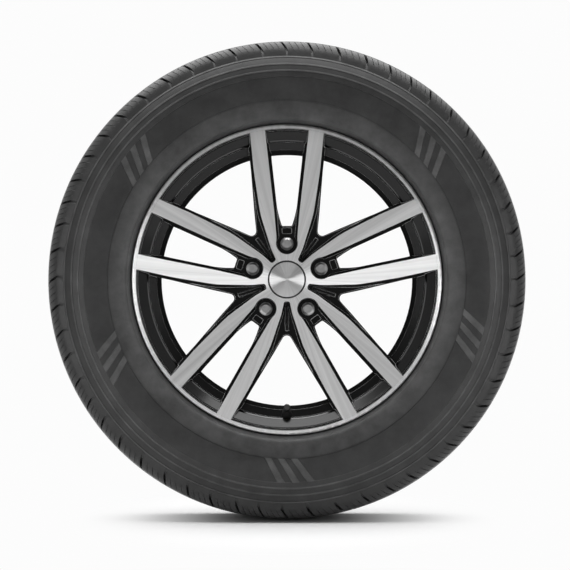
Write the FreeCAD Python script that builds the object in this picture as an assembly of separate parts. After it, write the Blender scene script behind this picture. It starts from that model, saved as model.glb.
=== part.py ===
import FreeCAD, Part
import math
import os

from FreeCAD import Vector

# Passenger-car wheel: a 235/65 R17 tubeless tyre on a one-piece cast alloy rim with five double spokes.
# Millimetres. The wheel turns about Y, its outboard face looks along -Y, and Z is up.
# The origin is on the axis, in the tyre's middle plane. Profiles are drawn as (radius, y).

# Tyre
TYRE_RADIUS = 368.5
TYRE_SECTION_WIDTH = 238.0
WIDEST_RADIUS = 296.0
TREAD_WIDTH = 188.0
CROWN_DROP = 7.0
SHOULDER_DROP = 21.0
SHOULDER_RUN = 13.0
UPPER_BULGE = 2.4
LOWER_BULGE = 1.6
SIDEWALL_THICKNESS = 9.0
TREAD_THICKNESS = 17.0
LINER_CORNER_SHARE = 0.42
LINER_START = 20.0
LINER_SETBACK = 8.0
GROOVE_OFFSETS = (-59.0, -20.5, 20.5, 59.0)
GROOVE_WIDTH = 10.0
GROOVE_DEPTH = 8.0
GROOVE_FLARE = 1.6
PITCH_COUNT = 56
PITCH_LENGTHS = (0.90, 0.90, 1.00, 1.10, 1.10, 1.00, 0.95, 1.05)
SLOT_WIDTH = 3.4
SLOT_DEPTH = 6.5
SLOT_LEAN_DEG = 9.0
SLOT_FOOT_RADIUS = 337.0
SIDE_RIB_RADII = (316.0, 326.0, 337.5)
SIDE_RIB_WIDTH = 3.2
SIDE_RIB_HEIGHT = 1.0
PANEL_INNER_RADIUS = 271.0
PANEL_OUTER_RADIUS = 307.0
PANEL_DEPTH = 1.0
BAR_ANGLES_DEG = (41.7, 141.5, 204.2, 270.5, 343.0)
BAR_LEANS_DEG = (32.0, -32.0, 32.0, 32.0, -32.0)
BARS_PER_GROUP = 3
BAR_WIDTH = 9.0
BAR_STEP_DEG = 4.2
BAR_LENGTH_SHARE = 1.6
BAR_REACH = 15.0
RIM_PROTECTOR_RADIUS = 243.0
RIM_PROTECTOR_WIDTH = 224.0
RIM_PROTECTOR_HEIGHT = 6.0
RIM_PROTECTOR_DROP = 3.0
BEAD_CLEARANCE = 0.2
BEAD_WIDTH = 19.0

# Rim barrel
BEAD_SEAT_RADIUS = 218.3
RIM_WIDTH = 177.8
FLANGE_HEIGHT = 17.5
FLANGE_THICKNESS = 11.0
FLANGE_ROUND = 3.0
FLANGE_FILLET = 6.5
SEAT_TAPER_DEG = 5.0
SEAT_WIDTH = 19.0
HUMP_HEIGHT = 1.2
HUMP_WIDTH = 9.0
WELL_DEPTH = 17.8
WELL_START = -52.0
WELL_END = -4.0
WELL_RAMP = 26.0
WELL_RAMP_RISE = 8.0
BARREL_WALL = 6.0
LIP_WIDTH = 6.4
LIP_STEP_DEPTH = 3.2
LIP_STEP_WIDTH = 3.2
LIP_GROOVE_DEPTH = 2.2
LIP_SLOPE_RADIUS = 213.0
LIP_SLOPE_DEPTH = 14.0
VALVE_WALL_Y = -71.0
VALVE_WALL_RADIUS = 210.5
VALVE_WALL_LEAN_DEG = 24.6
VALVE_WALL_HEIGHT = 13.0

# Hub and spokes
SPOKE_PAIRS = 5
HUB_FACE_Y = -89.0
HUB_FLAT_RADIUS = 60.0
SPOKE_CROWN_RADIUS = 150.0
SPOKE_CROWN = 0.6
MOUNT_FACE_Y = -40.0
MOUNT_PAD_RADIUS = 74.0
MOUNT_PAD_SLOPE = 22.0
SPOKE_FOOT_SLOPE = 12.0
SPOKE_BACK_Y = -56.0
HUB_BORE_RADIUS = 32.55
HUB_BORE_LENGTH = 24.0
HUB_BORE_CHAMFER = 1.5
CAP_SEAT_RADIUS = 28.4
CAP_SEAT_DEPTH = 4.0
CAP_CLIP_RADIUS = 26.0
CAP_CLIP_LENGTH = 13.0
CAP_RELIEF_RADIUS = 30.0
BOLT_CIRCLE_RADIUS = 55.0
POCKET_RADIUS = 16.9
POCKET_DRAFT = 1.0
POCKET_FLOOR_Y = -62.0
CHANNEL_WAIST = 66.0
CHANNEL_WAIST_HALF_WIDTH = 17.7
CHANNEL_WAIST_ROUND = 10.0
CHANNEL_BEND = 100.0
CHANNEL_BEND_HALF_WIDTH = 20.5
CHANNEL_BEND_ROUND = 60.0
CHANNEL_LIP_HALF_WIDTH = 34.2
NARROW_DRAFT = 8.5
NARROW_WEB_END = 82.5
NARROW_FOOT_HALF_WIDTH = 15.1
NARROW_BEND = 110.0
WEB_RECESS_LENGTH = 9.0
WEB_RECESS_WIDTH = 14.5
WEB_RECESS_DEPTH = 4.0
WEB_RECESS_BORDER = 2.8
WEB_RECESS_CORNER = 1.5
NOTCH_TIP = 32.6
NOTCH_TIP_HALF_WIDTH = 5.2
NOTCH_KNEE = 52.0
NOTCH_KNEE_HALF_WIDTH = 9.5
NOTCH_KNEE_ROUND = 60.0
NOTCH_BEND = 105.0
NOTCH_BEND_HALF_WIDTH = 28.0
WIDE_BEND = 165.0
WIDE_BEND_HALF_WIDTH = 58.6
WIDE_OUTER = 211.0
WIDE_OUTER_HALF_WIDTH = 85.0
WIDE_BEND_ROUND = 150.0
WIDE_WEB_END = 77.5
WIDE_WEB_ROUND = 7.0
THROUGH_START = 112.0
THROUGH_HALF_WIDTH = 17.0
THROUGH_SLOPE = 0.60
WIDE_DRAFT = 11.5
NOTCH_FLOOR_Y = -66.0
NOTCH_RIB_WIDTH = 6.4
NOTCH_RIB_HEIGHT = 5.0
NOTCH_RIB_TOP_SHARE = 0.7
NOTCH_RIB_START = 41.0
NOTCH_RIB_END = 78.0
WINDOW_CORNER = 3.5
SMALL_ROUND = 1.0
CUT_OVER = 2.0
OVERLAP = 0.01
RIM_OVER = 6.0
BACK_POCKET_DEPTH = 12.0
BACK_POCKET_START = 46.0
BACK_POCKET_END = 66.0
BACK_POCKET_HALF_WIDTH = 13.0
BACK_POCKET_TAPER = 0.7
BACK_POCKET_CORNER = 4.0

# Lug bolts
BOLT_RADIUS = 7.0
BOLT_NECK_RADIUS = 6.5
BOLT_THREAD_START = 0.5
BOLT_HOLE_RADIUS = 7.6
BOLT_CONE_RADIUS = 10.0
BOLT_COLLAR_HEIGHT = 2.0
BOLT_CONE_DEG = 60.0
BOLT_HEX = 17.0
BOLT_HEAD_HEIGHT = 14.0
BOLT_HEAD_CHAMFER = 1.9
BOLT_FACE_RADIUS = 6.3
BOLT_REACH = 28.0
BOLT_TIP_CHAMFER = 1.2
BOLT_SEAT_CLEARANCE = 0.1
BOLT_END_RECESS_RADIUS = 4.4
BOLT_END_RECESS_DEPTH = 0.8

# Centre cap
CAP_CLEARANCE = 0.3
CAP_FLANGE_THICKNESS = 3.2
CAP_WALL = 2.2
CAP_DOME = 1.6
CAP_RIM_WIDTH = 1.3
CAP_FACE_THICKNESS = 1.0
CAP_LEGS = 6
CAP_LEG_WIDTH = 11.0
CAP_HOOK = 1.5
CAP_HOOK_LENGTH = 5.0
CAP_RING_WIRE = 1.6
CAP_RING_GAP = 5.0

# Valve
VALVE_ANGLE_DEG = 270.0
VALVE_MOUTH_SHARE = 0.42
VALVE_HOLE_RADIUS = 5.75
VALVE_NECK_CLEARANCE = 0.15
VALVE_SEAT_RADIUS = 8.2
VALVE_BULB_RADIUS = 7.9
VALVE_BULB_LENGTH = 9.0
VALVE_BODY_RADIUS = 7.4
VALVE_BODY_LENGTH = 16.0
VALVE_STEM_RADIUS = 3.85
VALVE_STEM_BORE = 2.5
VALVE_STEM_LENGTH = 27.0
VALVE_CORE_LENGTH = 14.0
VALVE_PIN_RADIUS = 0.7
VALVE_PIN_HEAD = 0.95
VALVE_PIN_TRAVEL = 1.0
VALVE_FIT = 0.05
VALVE_CAP_RADIUS = 4.9
VALVE_CAP_LENGTH = 11.0
VALVE_CAP_WALL = 0.95
VALVE_CAP_RIBS = 12
VALVE_CAP_CLEARANCE = 0.1
VALVE_SEAL_THICKNESS = 1.2

# How far the middle of a quarter round lies from its square corner, as a share of its radius
QUARTER = 1.0 - math.cos(math.radians(45.0))

AXIS = Vector(0, 1, 0)
ORIGIN = Vector(0, 0, 0)


def save(shape, node):
    """Writes one sub-part and prints its volume."""
    shape.exportStep(f"parts/{node}.step")
    print(node, "solids", len(shape.Solids), "valid", shape.isValid(), "cm3", round(shape.Volume / 1000, 2))


def profile_wire(steps):
    """A closed wire in the profile plane from points (r, y), or (r, y, r_mid, y_mid) for an arc to it."""
    edges = []
    last = steps[0]
    closing = [] if tuple(steps[-1][:2]) == tuple(steps[0][:2]) else [steps[0][:2]]
    for step in list(steps[1:]) + closing:
        start = Vector(last[0], last[1], 0)
        end = Vector(step[0], step[1], 0)
        if len(step) == 4:
            edges.append(Part.Arc(start, Vector(step[2], step[3], 0), end).toShape())
        else:
            edges.append(Part.LineSegment(start, end).toShape())
        last = step
    return Part.Wire(edges)


def turned(steps):
    """A solid turned about the wheel's axis from a closed profile."""
    return Part.Face(profile_wire(steps)).revolve(ORIGIN, AXIS, 360)


def round_corners(points):
    """Edges, as pairs or triples of 2-D points, of a closed outline of (u, v, corner radius)."""
    count = len(points)
    corners = []
    for i, (u, v, radius) in enumerate(points):
        here = Vector(u, v, 0)
        before = (Vector(*points[i - 1][:2], 0) - here).normalize()
        after = (Vector(*points[(i + 1) % count][:2], 0) - here).normalize()
        half = math.acos(max(-1.0, min(1.0, before.dot(after)))) / 2
        reach = radius / math.tan(half)
        middle = (before + after).normalize() * (radius / math.sin(half) - radius)
        corners.append((here + before * reach, here + middle, here + after * reach))
    return corners


def outline(points, y, turn_deg=0.0):
    """A closed wire at y from (u, v, corner radius), with u along X and v along Z, turned about Y."""
    turn = math.radians(turn_deg)

    def place(p):
        u = p.x * math.cos(turn) - p.y * math.sin(turn)
        v = p.x * math.sin(turn) + p.y * math.cos(turn)
        return Vector(u, y, v)

    corners = round_corners(points)
    edges = []
    for i, (start, middle, end) in enumerate(corners):
        edges.append(Part.Arc(place(start), place(middle), place(end)).toShape())
        following = corners[(i + 1) % len(corners)][0]
        edges.append(Part.LineSegment(place(end), place(following)).toShape())
    return Part.Wire(edges)


def both_sides(points):
    """A closed, symmetric outline from the (u, v, corner radius) points of its right side."""
    return points + [(-u, v, radius) for u, v, radius in reversed(points)]


def tapered(front_points, front_y, back_points, back_y, turn_deg):
    """A cutter between two outlines of the same number of corners."""
    wires = [outline(front_points, front_y, turn_deg), outline(back_points, back_y, turn_deg)]
    return Part.makeLoft(wires, True, True)


def about_axis(shape, angle_deg):
    """A copy turned about the wheel's axis, counter-clockwise as seen from outboard."""
    copy = shape.copy()
    copy.rotate(ORIGIN, AXIS, -angle_deg)
    return copy


# Rim

LIP_Y = -(RIM_WIDTH / 2 + FLANGE_THICKNESS)
FLANGE_RADIUS = BEAD_SEAT_RADIUS + FLANGE_HEIGHT
WELL_RADIUS = BEAD_SEAT_RADIUS - WELL_DEPTH
WELL_INNER_RADIUS = WELL_RADIUS - BARREL_WALL
SEAT_DROP = SEAT_WIDTH * math.tan(math.radians(SEAT_TAPER_DEG))
VALVE_AXIS_R = -math.sin(math.radians(VALVE_WALL_LEAN_DEG))
VALVE_AXIS_Y = -math.cos(math.radians(VALVE_WALL_LEAN_DEG))
VALVE_WALL_FOOT_RADIUS = VALVE_WALL_RADIUS - VALVE_WALL_HEIGHT * -VALVE_AXIS_Y
VALVE_WALL_FOOT_Y = VALVE_WALL_Y + VALVE_WALL_HEIGHT * -VALVE_AXIS_R
SPOKE_RIM_Y = LIP_Y + 0.6


def barrel_outboard_inner():
    """Points of the barrel's inner side from the lip to the well, as seen through the windows."""
    lip_inner = FLANGE_RADIUS - LIP_WIDTH
    step_inner = lip_inner - LIP_STEP_WIDTH
    step_y = LIP_Y + LIP_STEP_DEPTH
    return [
        (lip_inner, LIP_Y),
        (lip_inner - 0.6, step_y),
        (step_inner, step_y + 0.4),
        (step_inner - 1.2, step_y + LIP_GROOVE_DEPTH),
        (LIP_SLOPE_RADIUS, LIP_Y + LIP_SLOPE_DEPTH),
        (LIP_SLOPE_RADIUS - 2.0, LIP_Y + LIP_SLOPE_DEPTH + 4.0),
        (VALVE_WALL_RADIUS, VALVE_WALL_Y),
        (VALVE_WALL_FOOT_RADIUS, VALVE_WALL_FOOT_Y),
        (WELL_INNER_RADIUS, WELL_START + 2.0),
    ]


def make_barrel():
    """The turned ring that carries the tyre: two flanges, tapered bead seats, humps and the drop well."""
    half = RIM_WIDTH / 2
    wall_r = -VALVE_AXIS_R * BARREL_WALL
    wall_y = -VALVE_AXIS_Y * BARREL_WALL
    hump_y = half - SEAT_WIDTH
    seat_foot = BEAD_SEAT_RADIUS - SEAT_DROP
    inboard_inner = BEAD_SEAT_RADIUS - SEAT_DROP - BARREL_WALL
    flange_foot = BEAD_SEAT_RADIUS + FLANGE_FILLET
    fillet = QUARTER * FLANGE_FILLET
    lip_round = QUARTER * FLANGE_ROUND
    inboard_lip = half + FLANGE_THICKNESS
    steps = barrel_outboard_inner()
    steps += [
        (WELL_INNER_RADIUS, WELL_END),
        (WELL_INNER_RADIUS + WELL_RAMP_RISE, WELL_END + WELL_RAMP),
        (inboard_inner, hump_y),
        (inboard_inner + 2.0, inboard_lip - 4.0),
        (FLANGE_RADIUS - LIP_WIDTH - 6.0, inboard_lip),
        (FLANGE_RADIUS - FLANGE_ROUND, inboard_lip),
        (FLANGE_RADIUS, inboard_lip - FLANGE_ROUND, FLANGE_RADIUS - lip_round, inboard_lip - lip_round),
        (FLANGE_RADIUS, half + FLANGE_ROUND),
        (FLANGE_RADIUS - FLANGE_ROUND, half, FLANGE_RADIUS - lip_round, half + lip_round),
        (flange_foot, half),
        (BEAD_SEAT_RADIUS, half - FLANGE_FILLET, BEAD_SEAT_RADIUS + fillet, half - fillet),
        (seat_foot, hump_y),
        (seat_foot, hump_y - HUMP_WIDTH, seat_foot + HUMP_HEIGHT, hump_y - HUMP_WIDTH / 2),
        (WELL_RADIUS + WELL_RAMP_RISE, WELL_END + WELL_RAMP),
        (WELL_RADIUS, WELL_END),
        (WELL_RADIUS, WELL_START),
        (VALVE_WALL_FOOT_RADIUS + wall_r, VALVE_WALL_FOOT_Y + wall_y),
        (VALVE_WALL_RADIUS + wall_r, VALVE_WALL_Y + wall_y),
        (seat_foot, -hump_y, seat_foot + HUMP_HEIGHT, -hump_y + HUMP_WIDTH / 4),
        (BEAD_SEAT_RADIUS, -half + FLANGE_FILLET),
        (flange_foot, -half, BEAD_SEAT_RADIUS + fillet, -half + fillet),
        (FLANGE_RADIUS - FLANGE_ROUND, -half),
        (FLANGE_RADIUS, -half - FLANGE_ROUND, FLANGE_RADIUS - lip_round, -half - lip_round),
        (FLANGE_RADIUS, LIP_Y + FLANGE_ROUND),
        (FLANGE_RADIUS - FLANGE_ROUND, LIP_Y, FLANGE_RADIUS - lip_round, LIP_Y + lip_round),
    ]
    return turned(steps)


def make_spider_blank():
    """The turned disc that the spokes are cut from. Its outer edge lies inside the barrel's wall."""
    inside = BARREL_WALL / 2
    lip_inner = FLANGE_RADIUS - LIP_WIDTH
    steps = [
        (CAP_CLIP_RADIUS, HUB_FACE_Y),
        (HUB_FLAT_RADIUS, HUB_FACE_Y),
        (lip_inner + 1.6, SPOKE_RIM_Y, SPOKE_CROWN_RADIUS, (HUB_FACE_Y + SPOKE_RIM_Y) / 2 + SPOKE_CROWN),
        (lip_inner + 1.6, SPOKE_RIM_Y + 4.0),
        (LIP_SLOPE_RADIUS + inside, LIP_Y + LIP_SLOPE_DEPTH + 1.0),
        (VALVE_WALL_RADIUS + inside, VALVE_WALL_Y + 1.0),
        (VALVE_WALL_FOOT_RADIUS + inside * 0.6, VALVE_WALL_FOOT_Y + inside),
        (WELL_INNER_RADIUS + inside, SPOKE_BACK_Y + 3.0),
        (WELL_INNER_RADIUS - SPOKE_FOOT_SLOPE, SPOKE_BACK_Y),
        (MOUNT_PAD_RADIUS + MOUNT_PAD_SLOPE, SPOKE_BACK_Y + 4.0),
        (MOUNT_PAD_RADIUS, MOUNT_FACE_Y),
        (CAP_CLIP_RADIUS, MOUNT_FACE_Y),
    ]
    return turned(steps)


def wide_window(turn_deg):
    """Cutters of a window between two spoke pairs: the V notch down to its floor, and the way through."""
    front_y = LIP_Y - CUT_OVER
    back_y = MOUNT_FACE_Y + CUT_OVER
    reach = FLANGE_RADIUS + RIM_OVER
    slope = (WIDE_OUTER_HALF_WIDTH - WIDE_BEND_HALF_WIDTH) / (WIDE_OUTER - WIDE_BEND)
    reach_half = WIDE_OUTER_HALF_WIDTH + slope * (reach - WIDE_OUTER)
    floor_draft = WIDE_DRAFT * (NOTCH_FLOOR_Y - front_y) / (back_y - front_y)

    def notch(draft):
        tip = NOTCH_TIP_HALF_WIDTH - min(draft * 0.5, NOTCH_TIP_HALF_WIDTH * 0.55)
        tip_v = NOTCH_TIP + draft * 0.35
        sides = [
            (tip, tip_v, tip * 0.9),
            (NOTCH_KNEE_HALF_WIDTH - draft * 0.6, NOTCH_KNEE, NOTCH_KNEE_ROUND),
            (NOTCH_BEND_HALF_WIDTH - draft, NOTCH_BEND, WIDE_BEND_ROUND),
            (WIDE_BEND_HALF_WIDTH - draft, WIDE_BEND, WIDE_BEND_ROUND),
            (reach_half - draft, reach, SMALL_ROUND),
        ]
        return both_sides(sides)

    def through(spread):
        near = THROUGH_HALF_WIDTH + spread
        far = near + THROUGH_SLOPE * (reach - THROUGH_START)
        sides = [(near, THROUGH_START, SMALL_ROUND), (far, reach, SMALL_ROUND)]
        return [(0.0, WIDE_WEB_END, WIDE_WEB_ROUND)] + both_sides(sides)

    notch_cut = tapered(notch(0.0), front_y, notch(floor_draft), NOTCH_FLOOR_Y, turn_deg)
    spread = WIDE_DRAFT - floor_draft
    through_cut = tapered(through(spread), NOTCH_FLOOR_Y - OVERLAP, through(0.0), back_y, turn_deg)
    return [notch_cut, through_cut]


def narrow_window(turn_deg):
    """Cutters of a window inside a spoke pair: the lug pocket, the web's recess and the way through."""
    front_y = LIP_Y - CUT_OVER
    back_y = MOUNT_FACE_Y + CUT_OVER
    reach = FLANGE_RADIUS + RIM_OVER
    lip_inner = FLANGE_RADIUS - LIP_WIDTH
    slope = (CHANNEL_LIP_HALF_WIDTH - CHANNEL_BEND_HALF_WIDTH) / (lip_inner - CHANNEL_BEND)
    floor_draft = NARROW_DRAFT * (POCKET_FLOOR_Y - front_y) / (back_y - front_y)
    far = CHANNEL_BEND_HALF_WIDTH + slope * (reach - CHANNEL_BEND)

    def channel(draft):
        waist = CHANNEL_WAIST_HALF_WIDTH - draft
        sides = [
            (waist, BOLT_CIRCLE_RADIUS, SMALL_ROUND),
            (waist, CHANNEL_WAIST, CHANNEL_WAIST_ROUND),
            (CHANNEL_BEND_HALF_WIDTH - draft, CHANNEL_BEND, CHANNEL_BEND_ROUND),
            (far - draft, reach, SMALL_ROUND),
        ]
        return both_sides(sides)

    def through(draft):
        bend = CHANNEL_BEND_HALF_WIDTH + slope * (NARROW_BEND - CHANNEL_BEND) - draft
        sides = [
            (NARROW_FOOT_HALF_WIDTH - draft, NARROW_WEB_END, WINDOW_CORNER),
            (bend, NARROW_BEND, CHANNEL_BEND_ROUND),
            (far - draft, reach, SMALL_ROUND),
        ]
        return both_sides(sides)

    pocket = Part.makeCone(
        POCKET_RADIUS,
        POCKET_RADIUS - POCKET_DRAFT,
        POCKET_FLOOR_Y - front_y,
        Vector(0, front_y, BOLT_CIRCLE_RADIUS),
        AXIS,
    )
    half = WEB_RECESS_WIDTH / 2
    recess_end = NARROW_WEB_END - WEB_RECESS_BORDER
    recess_points = both_sides([
        (half, recess_end - WEB_RECESS_LENGTH, WEB_RECESS_CORNER),
        (half, recess_end, WEB_RECESS_CORNER),
    ])
    recess_floor = POCKET_FLOOR_Y + WEB_RECESS_DEPTH
    recess = tapered(recess_points, POCKET_FLOOR_Y - SMALL_ROUND, recess_points, recess_floor, turn_deg)
    channel_cut = tapered(channel(0.0), front_y, channel(floor_draft), POCKET_FLOOR_Y, turn_deg)
    through_start = POCKET_FLOOR_Y - OVERLAP
    through_cut = tapered(through(floor_draft), through_start, through(NARROW_DRAFT), back_y, turn_deg)
    return [about_axis(pocket, turn_deg), channel_cut, through_cut, recess]


def lug_seat():
    """Cutter of one bolt's hole and its cone seat, at the top."""
    cone_length = (BOLT_CONE_RADIUS - BOLT_HOLE_RADIUS) / math.tan(math.radians(BOLT_CONE_DEG / 2))
    hole_start = Vector(0, POCKET_FLOOR_Y - CUT_OVER, BOLT_CIRCLE_RADIUS)
    hole = Part.makeCylinder(BOLT_HOLE_RADIUS, MOUNT_FACE_Y - POCKET_FLOOR_Y + 2 * CUT_OVER, hole_start, AXIS)
    cone_start = Vector(0, POCKET_FLOOR_Y, BOLT_CIRCLE_RADIUS)
    return hole.fuse(Part.makeCone(BOLT_CONE_RADIUS, BOLT_HOLE_RADIUS, cone_length, cone_start, AXIS))


def back_pocket(turn_deg):
    """Cutter of a lightening pocket in the mounting pad, between two bolt holes."""
    points = both_sides([
        (BACK_POCKET_HALF_WIDTH * BACK_POCKET_TAPER, BACK_POCKET_START, BACK_POCKET_CORNER),
        (BACK_POCKET_HALF_WIDTH, BACK_POCKET_END, BACK_POCKET_CORNER),
    ])
    return tapered(points, MOUNT_FACE_Y - BACK_POCKET_DEPTH, points, MOUNT_FACE_Y + CUT_OVER, turn_deg)


def notch_rib(turn_deg):
    """The narrow raised rib along the floor of a V notch."""
    half = NOTCH_RIB_WIDTH / 2
    foot = both_sides([(half, NOTCH_RIB_START, SMALL_ROUND), (half, NOTCH_RIB_END, SMALL_ROUND)])
    top = [(u * NOTCH_RIB_TOP_SHARE, v, radius * NOTCH_RIB_TOP_SHARE) for u, v, radius in foot]
    return tapered(top, NOTCH_FLOOR_Y - NOTCH_RIB_HEIGHT, foot, NOTCH_FLOOR_Y + SMALL_ROUND, turn_deg)


def hub_bores():
    """Cutter of the cap's seat, its clip bore and relief, and the bore that centres the wheel on a hub."""
    bore_start = MOUNT_FACE_Y - HUB_BORE_LENGTH
    clip_end = HUB_FACE_Y + CAP_SEAT_DEPTH + CAP_CLIP_LENGTH
    steps = [
        (0.0, HUB_FACE_Y - 1.0),
        (CAP_SEAT_RADIUS + 0.8, HUB_FACE_Y - 0.1),
        (CAP_SEAT_RADIUS, HUB_FACE_Y + 0.7),
        (CAP_SEAT_RADIUS, HUB_FACE_Y + CAP_SEAT_DEPTH),
        (CAP_CLIP_RADIUS, HUB_FACE_Y + CAP_SEAT_DEPTH),
        (CAP_CLIP_RADIUS, clip_end),
        (CAP_RELIEF_RADIUS, clip_end),
        (CAP_RELIEF_RADIUS, bore_start),
        (HUB_BORE_RADIUS, bore_start),
        (HUB_BORE_RADIUS, MOUNT_FACE_Y - HUB_BORE_CHAMFER),
        (HUB_BORE_RADIUS + HUB_BORE_CHAMFER + 0.5, MOUNT_FACE_Y + 0.5),
        (0.0, MOUNT_FACE_Y + 0.5),
    ]
    return turned(steps)


def valve_place(shape):
    """Moves a shape made along +Z, from the valve hole's outer mouth, to the valve hole in the rim."""
    mouth = VALVE_WALL_HEIGHT * VALVE_MOUTH_SHARE
    mouth_r = VALVE_WALL_RADIUS - mouth * -VALVE_AXIS_Y
    mouth_y = VALVE_WALL_Y + mouth * -VALVE_AXIS_R
    turn = math.radians(VALVE_ANGLE_DEG)
    outward = Vector(math.cos(turn), 0, math.sin(turn))
    direction = outward * VALVE_AXIS_R + AXIS * VALVE_AXIS_Y
    placed = shape.copy()
    placed.Placement = FreeCAD.Placement(
        outward * mouth_r + AXIS * mouth_y, FreeCAD.Rotation(Vector(0, 0, 1), direction)
    ).multiply(placed.Placement)
    return placed


def lathe(steps):
    """A solid turned about Z from (radius, z) points, for the valve's pieces."""
    wire = Part.makePolygon([Vector(r, 0, z) for r, z in list(steps) + [steps[0]]])
    return Part.Face(wire).revolve(ORIGIN, Vector(0, 0, 1), 360)


def make_rim():
    """The cast wheel: spider with its windows and pockets cut, fused to the barrel, then bored."""
    step = 360.0 / SPOKE_PAIRS
    cutters = []
    ribs = []
    for i in range(SPOKE_PAIRS):
        cutters += narrow_window(i * step)
        cutters += wide_window((i + 0.5) * step)
        cutters.append(about_axis(lug_seat(), i * step))
        cutters.append(back_pocket((i + 0.5) * step))
        ribs.append(notch_rib((i + 0.5) * step))
    spider = make_spider_blank().cut(cutters)
    hole = lathe([
        (0.0, -BARREL_WALL - VALVE_BULB_LENGTH),
        (VALVE_SEAT_RADIUS, -BARREL_WALL - VALVE_BULB_LENGTH),
        (VALVE_SEAT_RADIUS, -BARREL_WALL),
        (VALVE_HOLE_RADIUS, -BARREL_WALL),
        (VALVE_HOLE_RADIUS, 0.0),
        (VALVE_SEAT_RADIUS, 0.0),
        (VALVE_SEAT_RADIUS, VALVE_BODY_LENGTH),
        (0.0, VALVE_BODY_LENGTH),
    ])
    rim = spider.fuse([make_barrel()] + ribs)
    return rim.cut([hub_bores(), valve_place(hole)]).removeSplitter()


# Tyre

def tyre_outer_profile():
    """Outer side of half a section, from the crown to the bead toe, as (r, |y|) steps with arcs."""
    half = TYRE_SECTION_WIDTH / 2
    tread = TREAD_WIDTH / 2
    edge_r = TYRE_RADIUS - CROWN_DROP
    foot_r = edge_r - SHOULDER_DROP
    foot_y = tread + SHOULDER_RUN
    protector = RIM_PROTECTOR_WIDTH / 2
    protector_top = RIM_PROTECTOR_RADIUS + RIM_PROTECTOR_HEIGHT
    return [
        (edge_r, tread, TYRE_RADIUS - CROWN_DROP * 0.28, tread * 0.55),
        (foot_r, foot_y, edge_r - SHOULDER_DROP * 0.36, tread + SHOULDER_RUN * 0.66),
        (WIDEST_RADIUS, half, (foot_r + WIDEST_RADIUS) / 2 + 2.0, half - UPPER_BULGE),
        (protector_top, protector, (WIDEST_RADIUS + RIM_PROTECTOR_RADIUS) / 2 + 4.0, half - LOWER_BULGE),
        (RIM_PROTECTOR_RADIUS, protector - RIM_PROTECTOR_DROP),
    ]


def tyre_bead_profile():
    """Bead side of half a section, from beside the flange to the toe, as (r, |y|) steps."""
    gap = BEAD_CLEARANCE
    half = RIM_WIDTH / 2
    seat_foot = BEAD_SEAT_RADIUS - SEAT_DROP
    lip_round = QUARTER * FLANGE_ROUND
    fillet = QUARTER * FLANGE_FILLET + gap * 0.7
    return [
        (FLANGE_RADIUS + gap, half + FLANGE_ROUND + 1.5),
        (FLANGE_RADIUS + gap, half + FLANGE_ROUND),
        (
            FLANGE_RADIUS - FLANGE_ROUND,
            half - gap,
            FLANGE_RADIUS - lip_round + gap * 0.7,
            half + lip_round - gap * 0.7,
        ),
        (BEAD_SEAT_RADIUS + FLANGE_FILLET, half - gap),
        (BEAD_SEAT_RADIUS + gap, half - FLANGE_FILLET, BEAD_SEAT_RADIUS + fillet, half - fillet),
        (seat_foot + gap + 0.2, half - BEAD_WIDTH + 1.0),
        (seat_foot + 3.5, half - BEAD_WIDTH - 0.5),
    ]


def tyre_inner_profile():
    """Liner side of half a section, from the bead to the crown, as (r, |y|) steps."""
    half = TYRE_SECTION_WIDTH / 2 - SIDEWALL_THICKNESS
    tread = TREAD_WIDTH / 2
    crown = TYRE_RADIUS - TREAD_THICKNESS
    corner = LINER_CORNER_SHARE
    start = BEAD_SEAT_RADIUS + LINER_START
    return [
        (start, RIM_WIDTH / 2 - LINER_SETBACK),
        (WIDEST_RADIUS, half, (start + WIDEST_RADIUS) / 2 + 3.0, half - LINER_SETBACK),
        (crown - CROWN_DROP - 4.0, tread - 6.0, crown - SHOULDER_DROP * (1 - corner) - 12.0, half - 6.0),
        (crown, 0.0, crown - CROWN_DROP * 0.55, tread * 0.55),
    ]


def mirrored(step):
    """A profile step on the outboard side."""
    if len(step) == 4:
        return (step[0], -step[1], step[2], -step[3])
    return (step[0], -step[1])


def backwards(steps, end):
    """The same run of steps walked the other way, finishing at end, with each arc kept."""
    points = [s[:2] for s in steps]
    walked = []
    for i in range(len(steps) - 1, -1, -1):
        target = points[i - 1] if i > 0 else end
        walked.append(tuple(target) + tuple(steps[i][2:]))
    return walked


def make_tyre_blank():
    """The whole section turned round: crown, sidewalls, beads and liner."""
    side = tyre_outer_profile() + tyre_bead_profile() + tyre_inner_profile()
    crown = (TYRE_RADIUS, 0.0)
    inboard = [crown] + side
    outboard = [mirrored(s) for s in backwards(side, crown)]
    return turned(inboard + outboard)


def arc_circle(start, middle, end):
    """Centre and radius of the circle through three (r, y) points."""
    circle = Part.Circle(Vector(*start, 0), Vector(*middle, 0), Vector(*end, 0))
    return circle.Center.x, circle.Center.y, circle.Radius


def sidewall_y(radius):
    """Distance of the sidewall's surface from the middle plane at a radius."""
    _, foot, widest, protector, _ = tyre_outer_profile()
    if radius >= WIDEST_RADIUS:
        r, y, size = arc_circle(foot[:2], widest[2:], widest[:2])
    else:
        r, y, size = arc_circle(widest[:2], protector[2:], protector[:2])
    return y + math.sqrt(size ** 2 - (radius - r) ** 2)


def side_rib(radius, side):
    """A narrow raised rib round a sidewall."""
    half = SIDE_RIB_WIDTH / 2
    low = radius - half
    high = radius + half
    return turned([
        (low, side * (sidewall_y(low) - 0.5)),
        (low + half * 0.4, side * (sidewall_y(low) + SIDE_RIB_HEIGHT)),
        (high - half * 0.4, side * (sidewall_y(high) + SIDE_RIB_HEIGHT)),
        (high, side * (sidewall_y(high) - 0.5)),
    ])


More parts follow.
